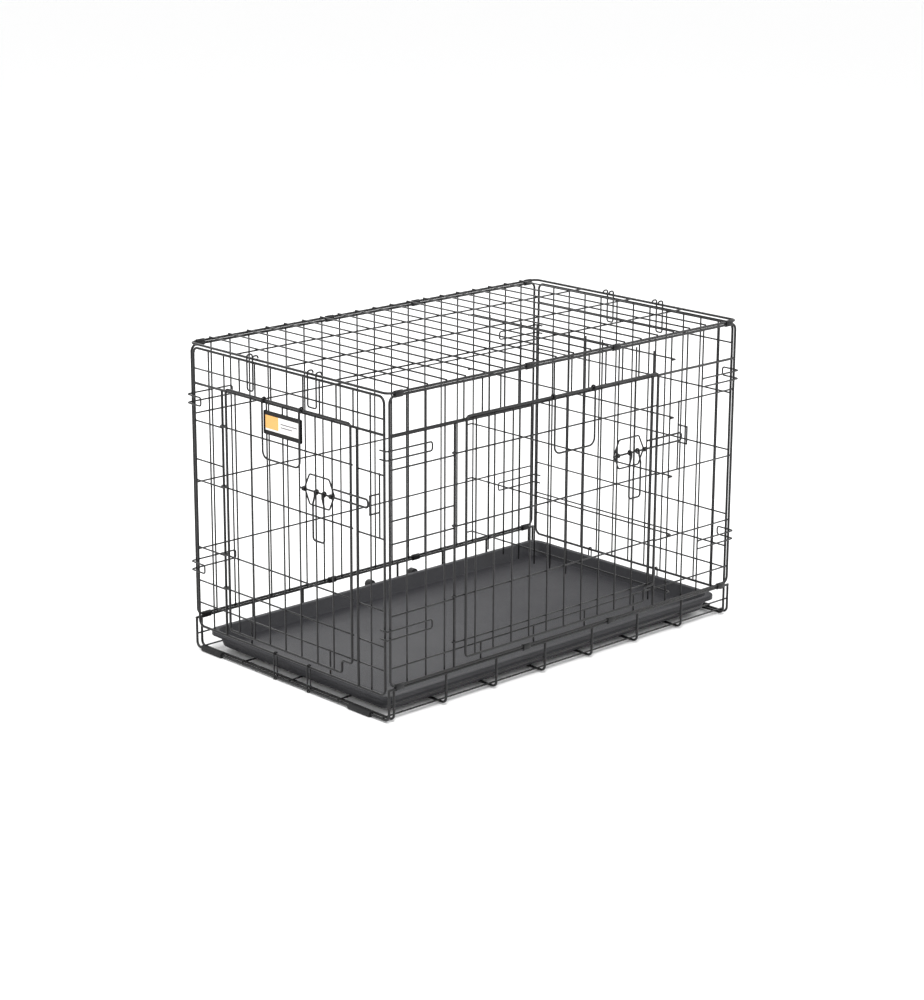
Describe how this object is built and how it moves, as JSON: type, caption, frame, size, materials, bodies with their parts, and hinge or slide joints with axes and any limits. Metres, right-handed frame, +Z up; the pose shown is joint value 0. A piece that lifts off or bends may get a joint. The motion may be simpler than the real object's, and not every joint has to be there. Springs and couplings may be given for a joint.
{
  "type": "wire dog crate",
  "caption": "Folding black wire dog crate with side and end doors, sliding bolt latches, carry handles, hinged end panels, divider and plastic floor pan.",
  "frame": {"origin": "on the floor under the middle of the crate's footprint", "axes": "+X along the length, away from the end door; +Y across, away from the side door; +Z up"},
  "size_m": [0.8027, 0.5012, 0.5232],
  "materials": {
    "wire": "satin black electro-coat",
    "thick_wire": "satin black electro-coat",
    "clip": "satin black",
    "rubber": "matt",
    "pan": "leather-grained polypropylene",
    "plate": "printed card"
  },
  "bodies": {
    "crate": {"floor_panel": "thick_wire", "foot_sleeves": "rubber", "pan_clips": "clip", "front_wall_frame": "thick_wire", "front_wall_grid": "wire", "back_wall_frame": "thick_wire", "back_wall_grid": "wire", "top_frame": "thick_wire", "top_grid": "wire", "top_clips_front": "clip", "top_clips_back": "clip", "floor_clips_front": "clip", "floor_clips_back": "clip", "corner_hooks_near_front": "wire", "corner_hooks_near_back": "wire", "corner_hooks_far_front": "wire", "corner_hooks_far_back": "wire", "near_top_hooks": "wire", "far_top_hooks": "wire", "near_bottom_links": "wire", "far_bottom_links": "wire", "side_keeper": "wire"},
    "pan": {"pan": "pan"},
    "near_end": {"near_end_frame": "thick_wire", "near_end_grid": "wire", "end_keeper": "wire"},
    "far_end": {"far_end_frame": "thick_wire", "far_end_grid": "wire"},
    "side_door": {"side_door_frame": "thick_wire", "side_door_grid": "wire", "side_latch_plate": "wire"},
    "side_bolt": {"side_bolt": "thick_wire"},
    "side_loop": {"side_latch_loop": "thick_wire"},
    "side_handle": {"side_carry_handle": "thick_wire"},
    "end_door": {"end_door_frame": "thick_wire", "end_door_grid": "wire", "end_latch_plate": "wire", "name_plate": "plate"},
    "end_bolt": {"end_bolt": "thick_wire"},
    "end_loop": {"end_latch_loop": "thick_wire"},
    "end_handle": {"end_carry_handle": "thick_wire"},
    "divider": {"divider_frame": "thick_wire", "divider_grid": "wire"}
  },
  "joints": [
    {"name": "near_end_fold", "type": "hinge", "parent": "crate", "child": "near_end", "pos_m": [-0.389, 0, 0.043], "axis": [0, -1, 0], "range_deg": [-88, 0]},
    {"name": "far_end_fold", "type": "hinge", "parent": "crate", "child": "far_end", "pos_m": [0.389, 0, 0.043], "axis": [0, 1, 0], "range_deg": [-14, 0]},
    {"name": "side_door_swing", "type": "hinge", "parent": "crate", "child": "side_door", "pos_m": [-0.254, -0.237, 0.26], "axis": [0, 0, -1], "range_deg": [0, 130]},
    {"name": "end_door_swing", "type": "hinge", "parent": "near_end", "child": "end_door", "pos_m": [-0.389, 0.157, 0.26], "axis": [0, 0, -1], "range_deg": [0, 130]},
    {"name": "side_bolt_slide", "type": "slide", "parent": "side_door", "child": "side_bolt", "axis": [1, 0, 0], "range_m": [0, 0.012]},
    {"name": "end_bolt_slide", "type": "slide", "parent": "end_door", "child": "end_bolt", "axis": [0, -1, 0], "range_m": [0, 0.012]},
    {"name": "side_loop_lift", "type": "hinge", "parent": "side_bolt", "child": "side_loop", "pos_m": [0.13, -0.25, 0.338], "axis": [-1, 0, 0], "range_deg": [0, 100]},
    {"name": "end_loop_lift", "type": "hinge", "parent": "end_bolt", "child": "end_loop", "pos_m": [-0.402, -0.096, 0.338], "axis": [0, 1, 0], "range_deg": [0, 100]},
    {"name": "side_handle_swing", "type": "hinge", "parent": "side_door", "child": "side_handle", "pos_m": [-0.005, -0.24375, 0.458], "axis": [-1, 0, 0], "range_deg": [0, 100]},
    {"name": "end_handle_swing", "type": "hinge", "parent": "end_door", "child": "end_handle", "pos_m": [-0.39575, -0.001, 0.458], "axis": [0, 1, 0], "range_deg": [0, 100]},
    {"name": "divider_unhook", "type": "slide", "parent": "crate", "child": "divider", "axis": [1, 0, 0], "range_m": [0, 0.012]},
    {"name": "pan_lift", "type": "slide", "parent": "crate", "child": "pan", "axis": [0, 0, 1], "range_m": [0, 0.012]}
  ]
}
